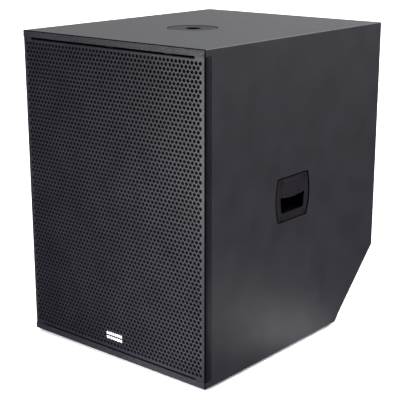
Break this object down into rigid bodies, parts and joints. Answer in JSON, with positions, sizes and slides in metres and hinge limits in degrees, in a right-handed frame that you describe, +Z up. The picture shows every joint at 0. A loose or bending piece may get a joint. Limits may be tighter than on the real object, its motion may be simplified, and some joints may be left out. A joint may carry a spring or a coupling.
{
  "type": "subwoofer cabinet",
  "caption": "Box loudspeaker for deep bass: painted plywood cabinet with a perforated steel front, pocket handles, a pole socket on top and a slanted lower rear edge.",
  "frame": {"origin": "on the floor, under the centre of the footprint", "axes": "+Z up, the grille faces -Y, +X to the right of someone facing the grille"},
  "size_m": [0.555, 0.68, 0.753],
  "materials": {
    "paint": "textured satin black paint on plywood",
    "plywood": "bare birch plywood",
    "lining": "polyester wadding",
    "grille_steel": "black powder coat",
    "foam": "open-cell foam",
    "badge_black": "gloss black",
    "badge_white": "white",
    "spring_steel": "blued spring steel",
    "black_screw": "black oxide",
    "cast_basket": "black powder-coated aluminium casting",
    "zinc_steel": "zinc plated",
    "ferrite": "sintered ferrite",
    "former": "glass-fibre laminate",
    "copper": "enamelled copper",
    "paper_cone": "coated paper pulp",
    "treated_cloth": "coated cloth",
    "spider_cloth": "resin-treated cotton",
    "black_plastic": "moulded black",
    "red_plastic": "moulded red",
    "handle_plastic": "fine-textured black",
    "socket_metal": "black powder coat",
    "plate_steel": "black powder coat",
    "brass_contact": "plain brass",
    "red_cable": "insulation",
    "black_cable": "insulation",
    "rubber": "moulded rubber"
  },
  "bodies": {
    "cabinet": {"back_panel": "paint", "back_plate": "zinc_steel", "baffle": "plywood", "baffle_battens": "plywood", "basket": "cast_basket", "bottom_panel": "paint", "brace_shelf": "plywood", "cross_struts": "plywood", "foot_screws": "zinc_steel", "grille_clip_screws": "black_screw", "grille_clips": "spring_steel", "handle_gasket_left": "foam", "handle_gasket_right": "foam", "handle_left": "handle_plastic", "handle_right": "handle_plastic", "handle_screws": "black_screw", "lead_wires": "copper", "lining_back": "lining", "lining_left": "lining", "lining_right": "lining", "lining_top": "lining", "magnet": "ferrite", "pole_socket": "socket_metal", "pole_socket_screws": "black_screw", "port_screws": "black_screw", "port_tube_left": "black_plastic", "port_tube_right": "black_plastic", "rubber_feet": "rubber", "side_panel_left": "paint", "side_panel_right": "paint", "slant_panel": "paint", "socket_contacts": "brass_contact", "socket_screws": "zinc_steel", "speaker_cable_black": "black_cable", "speaker_cable_red": "red_cable", "speaker_socket_in": "black_plastic", "speaker_socket_out": "black_plastic", "spider": "spider_cloth", "surround": "treated_cloth", "terminal_block": "black_plastic", "terminal_plate": "plate_steel", "terminal_plate_gasket": "foam", "terminal_plate_screws": "black_screw", "top_panel": "paint", "top_plate": "zinc_steel", "vent_mesh": "zinc_steel", "woofer_bolts": "black_screw", "woofer_gasket": "foam", "woofer_tee_nuts": "zinc_steel", "woofer_washers": "zinc_steel"},
    "grille_unit": {"grille": "grille_steel", "grille_foam": "foam", "badge_plate": "badge_black", "badge_emblem": "badge_white"},
    "cone_assembly": {"cone": "paper_cone", "dust_cap": "paper_cone", "coil_former": "former", "voice_coil": "copper"},
    "push_button_red": {"push_button_red": "red_plastic"},
    "push_button_black": {"push_button_black": "black_plastic"}
  },
  "joints": [
    {"name": "grille_pull", "type": "slide", "parent": "cabinet", "child": "grille_unit", "axis": [0, -1, 0], "range_m": [0, 0.08]},
    {"name": "cone_travel", "type": "slide", "parent": "cabinet", "child": "cone_assembly", "axis": [0, -1, 0], "range_m": [-0.012, 0.012], "stiffness_N_per_m": 8000, "deforming": ["surround", "spider", "lead_wires"]},
    {"name": "red_button_press", "type": "slide", "parent": "cabinet", "child": "push_button_red", "axis": [0, -1, 0], "range_m": [0, 0.004], "stiffness_N_per_m": 400},
    {"name": "black_button_press", "type": "slide", "parent": "cabinet", "child": "push_button_black", "axis": [0, -1, 0], "range_m": [0, 0.004], "stiffness_N_per_m": 400}
  ]
}
